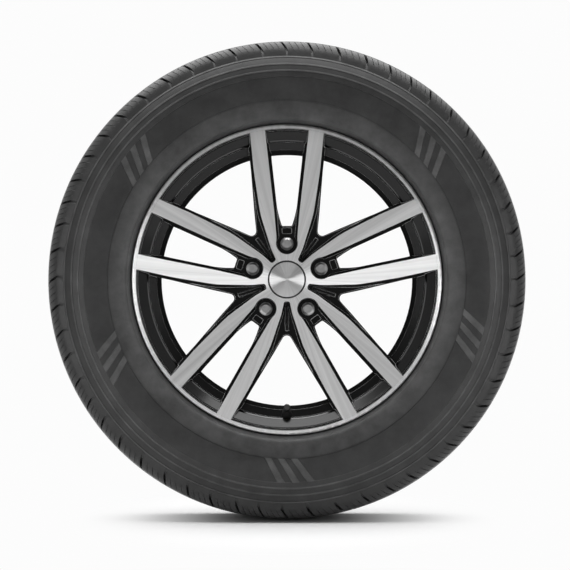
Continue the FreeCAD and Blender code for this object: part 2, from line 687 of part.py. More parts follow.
def bar_prism(angle_deg, lean_deg, side):
    """A leaning bar through the panel's depth, used to keep that part of the sidewall standing."""
    middle = (PANEL_INNER_RADIUS + PANEL_OUTER_RADIUS) / 2
    length = (PANEL_OUTER_RADIUS - PANEL_INNER_RADIUS) * BAR_LENGTH_SHARE
    half = TYRE_SECTION_WIDTH / 2
    bar = Part.makeBox(length, 2 * BAR_REACH, BAR_WIDTH, Vector(-length / 2, -BAR_REACH, -BAR_WIDTH / 2))
    bar.rotate(ORIGIN, AXIS, -lean_deg)
    bar.translate(Vector(middle, side * half, 0))
    return about_axis(bar, angle_deg)


def side_panel(side):
    """Cutter of the shallow recessed panel round a sidewall, which leaves the groups of bars standing."""
    low = PANEL_INNER_RADIUS
    high = PANEL_OUTER_RADIUS
    middle = WIDEST_RADIUS - 6.0
    floor = -PANEL_DEPTH
    over = 3.0
    ring = turned([
        (low, side * (sidewall_y(low) + floor)),
        (high, side * (sidewall_y(high) + floor), middle, side * (sidewall_y(middle) + floor)),
        (high, side * (sidewall_y(high) + over)),
        (low, side * (sidewall_y(low) + over), middle, side * (sidewall_y(middle) + over)),
    ])
    bars = []
    for angle, lean in zip(BAR_ANGLES_DEG, BAR_LEANS_DEG):
        for i in range(BARS_PER_GROUP):
            shift = (i - (BARS_PER_GROUP - 1) / 2) * BAR_STEP_DEG
            bars.append(bar_prism(angle + shift, lean, side))
    return ring.cut(bars)


def crown_radius(y):
    """Radius of the tread surface at y, close to the crown's arc."""
    return TYRE_RADIUS - CROWN_DROP * (2 * y / TREAD_WIDTH) ** 2


def tread_groove(offset):
    """Cutter of one groove round the tread, flared towards its mouth."""
    top = crown_radius(offset) + 3.0
    floor = crown_radius(offset) - GROOVE_DEPTH
    half = GROOVE_WIDTH / 2
    return turned([
        (floor, offset - half + GROOVE_FLARE),
        (floor, offset + half - GROOVE_FLARE),
        (top, offset + half + 0.6),
        (top, offset - half - 0.6),
    ])


def pitch_angles():
    """Angles of the shoulder slots, with the pitch lengths repeated round the tyre."""
    lengths = [PITCH_LENGTHS[i % len(PITCH_LENGTHS)] for i in range(PITCH_COUNT)]
    total = sum(lengths)
    angle = 0.0
    angles = []
    for length in lengths:
        angles.append(angle)
        angle += 360.0 * length / total
    return angles


def shoulder_slot(side):
    """Cutter of one slot across a shoulder at the top, from the outer groove down to the upper sidewall."""
    tread = TREAD_WIDTH / 2
    inner_y = GROOVE_OFFSETS[-1] + GROOVE_WIDTH / 2 - 2.0
    top = TYRE_RADIUS + 4.0
    edge = TYRE_RADIUS - CROWN_DROP
    section = Part.makePolygon([
        Vector(-SLOT_WIDTH / 2, side * inner_y, crown_radius(inner_y) - SLOT_DEPTH),
        Vector(-SLOT_WIDTH / 2, side * tread * 0.95, edge - SLOT_DEPTH),
        Vector(-SLOT_WIDTH / 2, side * (tread + SHOULDER_RUN + 1.0), SLOT_FOOT_RADIUS),
        Vector(-SLOT_WIDTH / 2, side * (tread + SHOULDER_RUN + 8.0), SLOT_FOOT_RADIUS),
        Vector(-SLOT_WIDTH / 2, side * (tread + SHOULDER_RUN + 8.0), top),
        Vector(-SLOT_WIDTH / 2, side * inner_y, top),
        Vector(-SLOT_WIDTH / 2, side * inner_y, crown_radius(inner_y) - SLOT_DEPTH),
    ])
    slot = Part.Face(section).extrude(Vector(SLOT_WIDTH, 0, 0))
    slot.rotate(Vector(0, side * tread, 0), Vector(0, 0, 1), -side * SLOT_LEAN_DEG)
    return slot


def make_tyre():
    """The moulded tyre: the blank with its sidewall ribs and panels, grooves and shoulder slots."""
    ribs = [side_rib(radius, side) for radius in SIDE_RIB_RADII for side in (-1, 1)]
    blank = make_tyre_blank().fuse(ribs)
    cutters = [tread_groove(offset) for offset in GROOVE_OFFSETS]
    cutters += [side_panel(-1), side_panel(1)]
    angles = pitch_angles()
    offset = 180.0 / PITCH_COUNT
    for side, start in ((-1, 0.0), (1, offset)):
        slot = shoulder_slot(side)
        cutters += [about_axis(slot, angle + start) for angle in angles]
    return blank.cut(cutters)


# Lug bolts

def make_bolt():
    """One bolt at the top: hex head, cone seat, plain neck and thread, made along the wheel's axis."""
    neck_step = BOLT_RADIUS - BOLT_NECK_RADIUS
    slope = math.tan(math.radians(BOLT_CONE_DEG / 2))
    gap = BOLT_SEAT_CLEARANCE / math.cos(math.radians(BOLT_CONE_DEG / 2))
    cone_top = POCKET_FLOOR_Y - gap / slope
    cone_foot = cone_top + (BOLT_CONE_RADIUS - BOLT_NECK_RADIUS) / slope
    thread_start = MOUNT_FACE_Y + BOLT_THREAD_START
    tip = MOUNT_FACE_Y + BOLT_REACH
    collar = cone_top - BOLT_COLLAR_HEIGHT
    head_top = collar - BOLT_HEAD_HEIGHT
    shank = turned([
        (0.0, collar),
        (BOLT_CONE_RADIUS, collar),
        (BOLT_CONE_RADIUS, cone_top),
        (BOLT_NECK_RADIUS, cone_foot),
        (BOLT_NECK_RADIUS, thread_start),
        (BOLT_RADIUS, thread_start + neck_step),
        (BOLT_RADIUS, tip - BOLT_TIP_CHAMFER),
        (BOLT_RADIUS - BOLT_TIP_CHAMFER, tip),
        (0.0, tip),
    ])
    corner = BOLT_HEX / math.sqrt(3.0)
    hexagon = [
        Vector(corner * math.cos(math.radians(60 * k)), head_top, corner * math.sin(math.radians(60 * k)))
        for k in range(7)
    ]
    head = Part.Face(Part.makePolygon(hexagon)).extrude(Vector(0, BOLT_HEAD_HEIGHT + 0.5, 0))
    rounding = turned([
        (0.0, head_top),
        (BOLT_FACE_RADIUS, head_top),
        (corner + 0.1, head_top + BOLT_HEAD_CHAMFER),
        (corner + 0.1, collar + 1.0),
        (0.0, collar + 1.0),
    ])
    recess = Part.makeCylinder(BOLT_END_RECESS_RADIUS, BOLT_END_RECESS_DEPTH, Vector(0, head_top, 0), AXIS)
    bolt = head.common(rounding).cut(recess).fuse(shank).removeSplitter()
    bolt.translate(Vector(0, 0, BOLT_CIRCLE_RADIUS))
    return bolt


def make_bolts():
    """Five equal bolts, as separate solids."""
    step = 360.0 / SPOKE_PAIRS
    return Part.makeCompound([about_axis(make_bolt(), i * step) for i in range(SPOKE_PAIRS)])


# Centre cap

CAP_RADIUS = CAP_SEAT_RADIUS - CAP_CLEARANCE
CAP_BACK_Y = HUB_FACE_Y + CAP_SEAT_DEPTH - CAP_CLEARANCE
CAP_FRONT_Y = CAP_BACK_Y - CAP_FLANGE_THICKNESS
CAP_LEG_RADIUS = CAP_CLIP_RADIUS - CAP_CLEARANCE
CAP_LEG_END_Y = HUB_FACE_Y + CAP_SEAT_DEPTH + CAP_CLIP_LENGTH + CAP_CLEARANCE + CAP_HOOK_LENGTH


def make_cap_body():
    """Moulded cap: a shallow dish that holds the face disc, and a ring of sprung legs with hooks."""
    face_seat = CAP_RADIUS - CAP_RIM_WIDTH
    dish = turned([
        (0.0, CAP_FRONT_Y + CAP_FACE_THICKNESS),
        (face_seat, CAP_FRONT_Y + CAP_FACE_THICKNESS),
        (face_seat, CAP_FRONT_Y - CAP_FACE_THICKNESS * 0.4),
        (CAP_RADIUS - 0.4, CAP_FRONT_Y - CAP_FACE_THICKNESS * 0.4),
        (CAP_RADIUS, CAP_FRONT_Y + 0.3),
        (CAP_RADIUS, CAP_BACK_Y),
        (0.0, CAP_BACK_Y),
    ])
    hook_start = CAP_LEG_END_Y - CAP_HOOK_LENGTH
    legs = turned([
        (CAP_LEG_RADIUS - CAP_WALL, CAP_BACK_Y - 0.2),
        (CAP_LEG_RADIUS, CAP_BACK_Y - 0.2),
        (CAP_LEG_RADIUS, hook_start),
        (CAP_LEG_RADIUS + CAP_HOOK, hook_start + 0.4),
        (CAP_LEG_RADIUS - 0.6, CAP_LEG_END_Y),
        (CAP_LEG_RADIUS - CAP_WALL, CAP_LEG_END_Y),
    ])
    keep = []
    for i in range(CAP_LEGS):
        bar = Part.makeBox(
            CAP_LEG_WIDTH,
            CAP_LEG_END_Y - CAP_BACK_Y + 2.0,
            CAP_SEAT_RADIUS + 4.0,
            Vector(-CAP_LEG_WIDTH / 2, CAP_BACK_Y - 1.0, 0),
        )
        keep.append(about_axis(bar, i * 360.0 / CAP_LEGS))
    return dish.fuse(legs.common(keep[0].fuse(keep[1:]))).removeSplitter()


def make_cap_face():
    """Spun metal disc set in the cap's front, slightly domed."""
    radius = CAP_RADIUS - CAP_RIM_WIDTH - 0.1
    back = CAP_FRONT_Y + CAP_FACE_THICKNESS - 0.05
    dome = CAP_FRONT_Y - CAP_DOME
    ball_radius = (radius ** 2 + CAP_DOME ** 2) / (2 * CAP_DOME)
    disc = Part.makeCylinder(radius, back - dome + 1.0, Vector(0, dome - 1.0, 0), AXIS)
    return disc.common(Part.makeSphere(ball_radius, Vector(0, dome + ball_radius, 0), AXIS))


def make_cap_ring():
    """Wire ring that presses the cap's legs outwards."""
    wire = CAP_RING_WIRE / 2
    ring_radius = CAP_LEG_RADIUS - CAP_WALL - wire - 0.1
    middle_y = CAP_LEG_END_Y - CAP_HOOK_LENGTH / 2
    ring = Part.makeTorus(ring_radius, wire, Vector(0, middle_y, 0), AXIS)
    corner = Vector(-CAP_RING_GAP / 2, middle_y - CAP_RING_WIRE, ring_radius - CAP_RING_WIRE)
    gap = Part.makeBox(CAP_RING_GAP, 2 * CAP_RING_WIRE, 2 * CAP_RING_WIRE, corner)
    return ring.cut(gap)


# Valve, made along +Z with z = 0 at the hole's outer mouth

def make_valve_body():
    """Rubber snap-in body: a bulb inside the rim, a neck in the hole and a tapered body outside."""
    wall = BARREL_WALL
    neck = VALVE_HOLE_RADIUS - VALVE_NECK_CLEARANCE
    gap = VALVE_NECK_CLEARANCE
    bore = VALVE_STEM_RADIUS + VALVE_FIT
    return lathe([
        (bore, -wall - gap - VALVE_BULB_LENGTH),
        (VALVE_BULB_RADIUS - 3.0, -wall - gap - VALVE_BULB_LENGTH),
        (VALVE_BULB_RADIUS, -wall - gap - VALVE_BULB_LENGTH * 0.45),
        (VALVE_BULB_RADIUS, -wall - gap),
        (neck, -wall - gap),
        (neck, gap),
        (VALVE_BODY_RADIUS, gap),
        (VALVE_BODY_RADIUS, gap + 2.5),
        (VALVE_STEM_RADIUS + 1.4, VALVE_BODY_LENGTH - 3.0),
        (VALVE_STEM_RADIUS + 1.0, VALVE_BODY_LENGTH),
        (bore, VALVE_BODY_LENGTH),
    ])


def make_valve_stem():
    """Brass tube bonded into the rubber, open at both ends."""
    foot = -BARREL_WALL - VALVE_BULB_LENGTH * 0.7
    return lathe([
        (VALVE_STEM_BORE, foot),
        (VALVE_STEM_RADIUS, foot),
        (VALVE_STEM_RADIUS, VALVE_STEM_LENGTH - 0.6),
        (VALVE_STEM_RADIUS - 0.6, VALVE_STEM_LENGTH),
        (VALVE_STEM_BORE, VALVE_STEM_LENGTH),
    ])


def make_valve_core():
    """Core screwed into the stem, with a bore for its pin."""
    top = VALVE_STEM_LENGTH - 1.5
    foot = top - VALVE_CORE_LENGTH
    radius = VALVE_STEM_BORE - VALVE_FIT
    bore = VALVE_PIN_RADIUS + VALVE_FIT
    cup = VALVE_PIN_HEAD + 0.4
    return lathe([
        (bore, foot),
        (radius - 0.8, foot),
        (radius, foot + 5.0),
        (radius, top),
        (cup, top),
        (cup, top - VALVE_PIN_TRAVEL - 0.6),
        (bore, top - VALVE_PIN_TRAVEL - 0.6),
    ])


def make_valve_pin():
    """Sprung pin of the core, with its seal plate below the core."""
    top = VALVE_STEM_LENGTH - 0.4
    foot = VALVE_STEM_LENGTH - 1.5 - VALVE_CORE_LENGTH
    return lathe([
        (0.0, foot - 2.4),
        (VALVE_STEM_BORE - 0.7, foot - 2.4),
        (VALVE_STEM_BORE - 0.7, foot - VALVE_FIT),
        (VALVE_PIN_RADIUS, foot - VALVE_FIT),
        (VALVE_PIN_RADIUS, top - 0.8),
        (VALVE_PIN_HEAD, top - 0.5),
        (VALVE_PIN_HEAD, top),
        (0.0, top),
    ])


def make_valve_cap():
    """Screw cap with grip ribs, closed at its end."""
    inner = VALVE_STEM_RADIUS + VALVE_CAP_CLEARANCE
    start = VALVE_STEM_LENGTH - VALVE_CAP_LENGTH + VALVE_SEAL_THICKNESS + VALVE_CAP_WALL + 0.2
    end = start + VALVE_CAP_LENGTH
    seat = end - VALVE_CAP_WALL
    cap = lathe([
        (inner, start),
        (VALVE_CAP_RADIUS, start),
        (VALVE_CAP_RADIUS, end - 0.8),
        (VALVE_CAP_RADIUS - 0.8, end),
        (0.0, end),
        (0.0, seat),
        (inner, seat),
    ])
    ribs = []
    for i in range(VALVE_CAP_RIBS):
        rib = Part.makeCylinder(0.45, VALVE_CAP_LENGTH - 2.0, Vector(VALVE_CAP_RADIUS, 0, start + 0.6))
        rib.rotate(ORIGIN, Vector(0, 0, 1), i * 360.0 / VALVE_CAP_RIBS)
        ribs.append(rib)
    return cap.fuse(ribs)


def make_valve_seal():
    """Rubber ring inside the cap, which seals on the stem's end."""
    outer = VALVE_STEM_RADIUS
    foot = VALVE_STEM_LENGTH + 0.1
    return lathe([
        (VALVE_PIN_HEAD + 0.6, foot),
        (outer, foot),
        (outer, foot + VALVE_SEAL_THICKNESS),
        (VALVE_PIN_HEAD + 0.6, foot + VALVE_SEAL_THICKNESS),
    ])


def main():
    os.makedirs("parts", exist_ok=True)
    save(make_tyre(), "tyre")
    save(make_rim(), "alloy_rim")
    save(make_bolts(), "lug_bolts")
    save(make_cap_body(), "centre_cap_body")
    save(make_cap_face(), "centre_cap_face")
    save(make_cap_ring(), "centre_cap_ring")
    save(valve_place(make_valve_body()), "valve_body")
    save(valve_place(make_valve_stem()), "valve_stem")
    save(valve_place(make_valve_core()), "valve_core")
    save(valve_place(make_valve_pin()), "valve_pin")
    save(valve_place(make_valve_cap()), "valve_cap")
    save(valve_place(make_valve_seal()), "valve_cap_seal")


main()
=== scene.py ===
# %% [markdown]
# A car wheel with its tyre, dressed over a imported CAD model.
# The CAD model gives every piece its place and size, so this script never moves one.
# It gives the pieces their finishes, replaces the plain tyre by one with all its fine cuts,
# and sets up a floor, soft lamps and a camera.

# %% Load the frame
import math

import bpy
import numpy as np
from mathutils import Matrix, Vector


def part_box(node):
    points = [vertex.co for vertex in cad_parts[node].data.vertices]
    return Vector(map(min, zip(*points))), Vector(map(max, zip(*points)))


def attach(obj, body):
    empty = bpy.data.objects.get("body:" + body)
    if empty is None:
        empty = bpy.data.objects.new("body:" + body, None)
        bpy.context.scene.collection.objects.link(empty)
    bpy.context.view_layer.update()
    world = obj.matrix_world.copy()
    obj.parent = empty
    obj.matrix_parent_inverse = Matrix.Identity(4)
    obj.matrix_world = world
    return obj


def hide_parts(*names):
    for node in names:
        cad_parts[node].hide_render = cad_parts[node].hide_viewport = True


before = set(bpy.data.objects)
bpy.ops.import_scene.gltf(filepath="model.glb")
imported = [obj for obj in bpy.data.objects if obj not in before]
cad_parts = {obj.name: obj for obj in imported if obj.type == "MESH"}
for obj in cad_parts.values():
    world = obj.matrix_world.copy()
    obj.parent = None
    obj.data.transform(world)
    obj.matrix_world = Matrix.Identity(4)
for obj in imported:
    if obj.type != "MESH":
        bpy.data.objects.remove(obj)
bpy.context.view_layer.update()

print("pieces in the frame:", sorted(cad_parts))

# %% [markdown]
# A wheel is a turned object: nearly everything on it follows from the distance to its axis,
# which runs along Y here, with the outboard side at negative Y. All sizes could be typed in,
# but those that have to agree with the CAD model are read from it.
# Lengths are in millimetres until a mesh is made, because that is how a tyre is drawn.

# %% Measure the wheel
MM = 0.001
FULL_TURN = 2 * math.pi
tyre_low, tyre_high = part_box("tyre")
rim_low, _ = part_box("alloy_rim")
TYRE_RADIUS = tyre_high.x / MM
LIP_Y = rim_low.y / MM
print(f"tyre radius {TYRE_RADIUS:.1f} mm, lip of the rim at y = {LIP_Y:.1f} mm")

# %% [markdown]
# The tread of a tyre repeats round the circle, but its pitches aren't all alike:
# short and long ones are mixed, so that the tyre doesn't hum on one note.
# An array modifier can only repeat one pitch, so the angles come from a list of lengths.

# %% Pitches of the tread
PITCH_COUNT = 56
PITCH_LENGTHS = (0.90, 0.90, 1.00, 1.10, 1.10, 1.00, 0.95, 1.05)


def pitch_edges():
    """Angles, in radians, at which the pitches start, with the full turn at the end."""
    lengths = np.resize(PITCH_LENGTHS, PITCH_COUNT)
    return np.concatenate([[0.0], np.cumsum(lengths)]) / lengths.sum() * FULL_TURN


pitches = np.degrees(np.diff(pitch_edges()))
print(f"pitches from {pitches.min():.2f} to {pitches.max():.2f} degrees")

# %% [markdown]
# The section of a tyre has a crown, two shoulders and two bulging sidewalls.
# It could be drawn as a curve and turned with a screw modifier, but then the cuts of the tread
# would have to be carved out of the result. Here it is a list of rows instead,
# and each row becomes a ring of points. Three points fix each arc, as on the drawing of a mould.
# A point is a radius and a distance from the middle plane.

# %% Arcs of the section
TREAD_HALF = 94.0
CROWN_DROP = 7.0
EDGE = (TYRE_RADIUS - CROWN_DROP, TREAD_HALF)
SHOULDER_MIDDLE = (353.9, 102.6)
SHOULDER_FOOT = (340.5, 107.0)
UPPER_MIDDLE = (320.25, 116.6)
WIDEST = (296.0, 119.0)
LOWER_MIDDLE = (273.5, 117.4)
PROTECTOR = (249.0, 112.0)


def circle_through(a, b, c):
    """Centre and radius of the circle through three points."""
    a, b, c = np.array(a), np.array(b), np.array(c)
    centre = np.linalg.solve(2 * np.array([b - a, c - b]), [b @ b - a @ a, c @ c - b @ b])
    return centre, float(np.hypot(*(centre - a)))


SHOULDER_ARC = circle_through(EDGE, SHOULDER_MIDDLE, SHOULDER_FOOT)
UPPER_ARC = circle_through(SHOULDER_FOOT, UPPER_MIDDLE, WIDEST)
LOWER_ARC = circle_through(WIDEST, LOWER_MIDDLE, PROTECTOR)


def sidewall_y(radius):
    """Distance of the sidewall's surface from the middle plane at a radius."""
    if radius > SHOULDER_FOOT[0]:
        centre, size = SHOULDER_ARC
    elif radius > WIDEST[0]:
        centre, size = UPPER_ARC
    else:
        centre, size = LOWER_ARC
    return centre[1] + math.sqrt(max(size ** 2 - (radius - centre[0]) ** 2, 0.0))


def crown_radius(y):
    """Radius of the tread's surface at a distance from the middle plane."""
    return TYRE_RADIUS - CROWN_DROP * (y / TREAD_HALF) ** 2


print("radii of the arcs, mm:", [round(arc[1], 1) for arc in (SHOULDER_ARC, UPPER_ARC, LOWER_ARC)])

# %% [markdown]
# Four grooves run round the tread. Slots and thin cuts, called sipes, run across its ribs
# and bite into wet roads. Hundreds of boolean cuts would be slow and leave untidy faces.
# A grid of rows and columns holds all of them, if its columns lie at the edges of the cuts:
# a row then only says how deep the slots and the sipes are there.
# In the inner ribs the cuts are narrower than at the shoulder.

# %% Rows across the tread
# Each line of a rib: distance from the middle plane, depth of the slots, depth of the sipes.
CENTRE_RIB = ((0.0, 0.0, 0.0), (6.0, 0.0, 0.0), (6.3, 0.0, 3.2), (11.0, 0.0, 3.2), (15.5, 0.0, 3.2))
MIDDLE_RIB = (
    (25.5, 0.0, 4.0),
    (32.0, 0.0, 4.0),
    (32.3, 5.0, 4.0),
    (40.0, 5.0, 4.0),
    (47.0, 5.0, 4.0),
    (54.0, 5.0, 4.0),
)
SHOULDER_RIB = (
    (64.0, 6.5, 0.0),
    (64.5, 6.5, 4.0),
    (72.0, 6.5, 4.0),
    (80.0, 6.5, 4.0),
    (88.0, 6.5, 4.0),
    (TREAD_HALF, 6.5, 4.0),
)
# Each line of the shoulder's arc: radius, depth of the slots, depth of the sipes.
SHOULDER_CUTS = (
    (359.5, 6.2, 2.6),
    (356.5, 5.4, 1.6),
    (352.5, 4.0, 0.6),
    (348.0, 2.2, 0.0),
    (344.0, 0.6, 0.0),
)
NARROW_CUTS = 0.5
GROOVE_DEPTH = 8.0
GROOVE_FLARE = 1.6


class Row:
    """One ring of the tyre: its place, which way is outwards, and the size of its cuts and bars."""

    def __init__(self, r, y, out=(1.0, 0.0), slot=0.0, sipe=0.0, narrow=1.0, bar=0.0):
        self.r, self.y, self.out = r, y, out
        self.slot, self.sipe, self.narrow, self.bar = slot, sipe, narrow, bar


def tread_rib(lines, narrow=1.0):
    return [Row(crown_radius(y), y, slot=slot, sipe=sipe, narrow=narrow) for y, slot, sipe in lines]


def groove_between(rib, next_rib):
    """Two rows at the foot of the groove between two ribs."""
    feet = (rib[-1][0] + GROOVE_FLARE, next_rib[0][0] - GROOVE_FLARE)
    return [Row(crown_radius(y) - GROOVE_DEPTH, y, narrow=NARROW_CUTS) for y in feet]


def shoulder():
    """Rows down the arc of the shoulder, whose cuts go straight into its surface."""
    centre, size = SHOULDER_ARC
    rows = []
    for r, slot, sipe in SHOULDER_CUTS:
        y = sidewall_y(r)
        rows.append(Row(r, y, ((r - centre[0]) / size, (y - centre[1]) / size), slot, sipe))
    return rows


TREAD_ROWS = tread_rib(CENTRE_RIB, NARROW_CUTS) + groove_between(CENTRE_RIB, MIDDLE_RIB)
TREAD_ROWS += tread_rib(MIDDLE_RIB, NARROW_CUTS) + groove_between(MIDDLE_RIB, SHOULDER_RIB)
TREAD_ROWS += tread_rib(SHOULDER_RIB) + shoulder()
print("rows in half the tread:", len(TREAD_ROWS))

# %% [markdown]
# Round the sidewall run thin ribs and a shallow panel, turned into the mould of a real tyre.
# A bump in the material would vanish at a low angle, so they are geometry:
# rows are raised or lowered by a millimetre, and two of them lie close together
# where an edge should look crisp.

# %% Rows of the sidewall
SIDEWARDS = (0.0, 1.0)
RIB_RADII = (337.5, 326.0, 316.0)
RIB_HALF = 1.6
RIB_CREST = RIB_HALF * 0.55
RIB_HEIGHT = 1.0
PANEL = (271.0, 307.0)
PANEL_DEPTH = 1.0
PANEL_EDGE = 0.25
PANEL_ROWS = 8


def plain_rows(*radii):
    return [Row(r, sidewall_y(r), SIDEWARDS) for r in radii]


def side_rib(radius):
    """Four rows of a raised rib, from its outer edge to its inner edge."""
    steps = ((RIB_HALF, 0.0), (RIB_CREST, RIB_HEIGHT), (-RIB_CREST, RIB_HEIGHT), (-RIB_HALF, 0.0))
    return [Row(radius + step, sidewall_y(radius + step) + lift, SIDEWARDS) for step, lift in steps]


def panel():
    """Rows of the recessed panel, where the bars stand up again."""
    inner, outer = PANEL
    rows = [Row(outer + PANEL_EDGE, sidewall_y(outer), SIDEWARDS)]
    for r in np.linspace(outer - PANEL_EDGE, inner + PANEL_EDGE, PANEL_ROWS).tolist():
        rows.append(Row(r, sidewall_y(r) - PANEL_DEPTH, SIDEWARDS, bar=PANEL_DEPTH))
    rows.append(Row(inner - PANEL_EDGE, sidewall_y(inner), SIDEWARDS))
    return rows


SHOULDER_ROWS = side_rib(RIB_RADII[0]) + plain_rows(334.0)
SIDE_ROWS = plain_rows(332.0) + side_rib(RIB_RADII[1]) + plain_rows(321.0) + side_rib(RIB_RADII[2])
SIDE_ROWS += plain_rows(311.0) + panel() + plain_rows(266.0)
print("rows in a sidewall:", len(SHOULDER_ROWS) + len(SIDE_ROWS))

# %% [markdown]
# The bead is the thick edge that grips the rim, and the liner is the airtight inside.
# Hardly any of that shows, and a skin without it could pass for a tyre from the front.
# But the rows close the section, so that the tyre is a body of rubber, as the real one is.
# They have no cuts and take few columns.

# %% Rows of the bead and the liner
LOWER_WALL = (262.0, 256.0, 252.0)
BEAD = (
    PROTECTOR, (246.0, 111.2), (243.0, 109.0), (239.5, 101.0), (236.0, 93.4), (236.0, 91.9),
    (235.1, 89.6), (232.8, 88.7), (224.8, 88.7), (221.0, 87.4), (218.5, 82.4), (217.0, 70.9),
)
LINER = (
    (220.1, 69.4), (228.0, 75.5), (238.3, 80.9), (255.0, 96.0), (275.0, 107.0), (296.0, 110.0),
    (318.0, 107.5), (334.0, 100.0), (340.5, 88.0), (346.0, 60.0), (350.0, 30.0), (351.5, 0.0),
)
INNER_ROWS = plain_rows(*LOWER_WALL) + [Row(r, y) for r, y in BEAD + LINER]
print("rows round the bead and the liner:", len(INNER_ROWS))

# %% [markdown]
# A column is a line across the rings. An even grid would need far more points to show cuts
# this thin, so each pitch has columns at both walls of its slot, three at each sipe
# and a few between them. Places are shares of a pitch.
# Every column also says which share of a row's slot and sipe it takes, from none to all.

# %% Columns of the tread
SLOT_COLUMNS = ((-0.050, 0.0), (-0.036, 1.0), (0.036, 1.0), (0.050, 0.0))
SIPE_PLACES = (0.27, 0.50, 0.73)
SIPE_HALF = 0.011
SIPE_COLUMNS = ((-SIPE_HALF, 0.0), (0.0, 1.0), (SIPE_HALF, 0.0))
PLAIN_PLACES = (0.16, 0.385, 0.615, 0.85)


def tread_columns():
    """Angle, middle of the nearest cut, share of the slot and share of the sipe, by column."""
    edges = pitch_edges()
    found = []
    for start, end in zip(edges[:-1], edges[1:]):
        length = end - start
        for step, share in SLOT_COLUMNS:
            found.append((start + step * length, start, share, 0.0))
        for place in SIPE_PLACES:
            middle = start + place * length
            for step, share in SIPE_COLUMNS:
                found.append((middle + step * length, middle, 0.0, share))
        for place in PLAIN_PLACES:
            found.append((start + place * length, start + place * length, 0.0, 0.0))
    return np.array(sorted(found))


TREAD_COLUMNS = tread_columns()
print("columns in the tread:", len(TREAD_COLUMNS))

# %% [markdown]
# Groups of three leaning bars stand in the panel of the sidewall.
# They could be separate blocks, but a moulded bar grows out of the wall.
# So pairs of columns mark the bars' edges in the grid, and the columns lean with the bars.
# The other columns are spread evenly, and between the groups the lean fades away.

# %% Columns of the sidewall
# Each group of bars: angle of its middle in degrees, and the side to which it leans.
BAR_GROUPS = ((41.7, 1.0), (141.5, -1.0), (204.2, 1.0), (270.5, 1.0), (343.0, -1.0))
BARS_PER_GROUP = 3
BAR_STEP = math.radians(4.2)
BAR_HALF = math.radians(1.05)
BAR_EDGE = math.radians(0.07)
BAR_LEAN = math.tan(math.radians(32.0))
LEAN_REACH = BAR_STEP * BARS_PER_GROUP / 2
LEAN_FADE = math.radians(9.0)
EVEN_COLUMNS = 240
COLUMN_GAP = math.radians(0.45)


def turn_gap(angles, angle):
    """How far apart angles are, the shorter way round."""
    return np.abs((angles - angle + math.pi) % FULL_TURN - math.pi)


def bar_middles():
    steps = (np.arange(BARS_PER_GROUP) - (BARS_PER_GROUP - 1) / 2) * BAR_STEP
    return np.concatenate([math.radians(middle) + steps for middle, _ in BAR_GROUPS])


def side_columns():
    """Angle, share of the bars' height and lean for every column of a sidewall."""
    bars = bar_middles()
    found = []
    for bar in bars:
        for edge in (-1, 1):
            found.append((bar + edge * (BAR_HALF + BAR_EDGE), 0.0))
            found.append((bar + edge * (BAR_HALF - BAR_EDGE), 1.0))
    taken = np.array(found)[:, 0]
    for angle in np.linspace(0, FULL_TURN, EVEN_COLUMNS, endpoint=False):
        if turn_gap(taken, angle).min() > COLUMN_GAP:
            found.append((angle, float(turn_gap(bars, angle).min() < BAR_HALF)))
    columns = np.array(sorted((angle % FULL_TURN, share) for angle, share in found))
    leans = np.zeros(len(columns))
    for middle, side in BAR_GROUPS:
        away = turn_gap(columns[:, 0], math.radians(middle)) - LEAN_REACH
        leans += side * np.clip(1 - away / LEAN_FADE, 0, 1)
    return np.column_stack([columns, leans])


SIDE_COLUMNS = side_columns()
print("columns in a sidewall:", len(SIDE_COLUMNS))

# %% [markdown]
# The cuts lean across the tread, in one direction from the outboard shoulder to the inboard one,
# and hook round at the shoulders. Columns drawn at a slant would need their own grid.
# Instead each row is turned by a shift of its own, which leaves the columns as they are.

# %% Lean of the cuts
SLOT_LEAN = 0.20
SHOULDER_HOOK = 9.0
HOOK_FOOT = 346.0
HOOK_POWER = 1.5
HALF_SHIFT = SHOULDER_HOOK + SLOT_LEAN * TREAD_HALF


def slot_shift(row, side):
    """Shift of a row's cuts round the tyre, counter-clockwise as seen from outboard."""
    if row.y <= TREAD_HALF:
        shift = SHOULDER_HOOK + SLOT_LEAN * (TREAD_HALF - row.y)
    else:
        height = max(0.0, (row.r - HOOK_FOOT) / (EDGE[0] - HOOK_FOOT))
        shift = SHOULDER_HOOK * height ** HOOK_POWER
    return shift if side < 0 else 2 * HALF_SHIFT - shift


print("shift from one shoulder to the other, mm:", round(2 * HALF_SHIFT, 1))

# %% [markdown]
# Now the rings can be placed. Each kind of row has its own columns: those of the tread,
# those of the sidewall, or an even spread where nothing is cut.
# A loop over all points would do, but numpy places a whole ring at once, which is much faster.
# Seen from outboard, angles grow counter-clockwise from X towards Z.

# %% Rings of points
INNER_COLUMNS = 168


def ring_points(r, y, angles):
    """Points of a ring, in metres."""
    y = np.broadcast_to(y, angles.shape)
    return np.column_stack([r * np.cos(angles), y, r * np.sin(angles)]) * MM


def tread_ring(row, side):
    angle, middle, slot, sipe = TREAD_COLUMNS.T
    angles = middle + (angle - middle) * row.narrow + slot_shift(row, side) / row.r
    depth = slot * row.slot + sipe * row.sipe
    r = row.r - depth * row.out[0]
    y = side * (row.y - depth * row.out[1])
    return ring_points(r, y, angles), angles


def side_ring(row, side):
    angle, share, lean = SIDE_COLUMNS.T
    along_bar = np.clip(row.r, *PANEL) - sum(PANEL) / 2
    angles = angle + lean * along_bar * BAR_LEAN / row.r
    return ring_points(row.r, side * (row.y + share * row.bar), angles), angles


def plain_ring(row, side):
    angles = np.linspace(0, FULL_TURN, INNER_COLUMNS, endpoint=False)
    return ring_points(row.r, side * row.y, angles), angles


print("points in a ring of the tread:", len(tread_ring(TREAD_ROWS[0], -1)[0]))

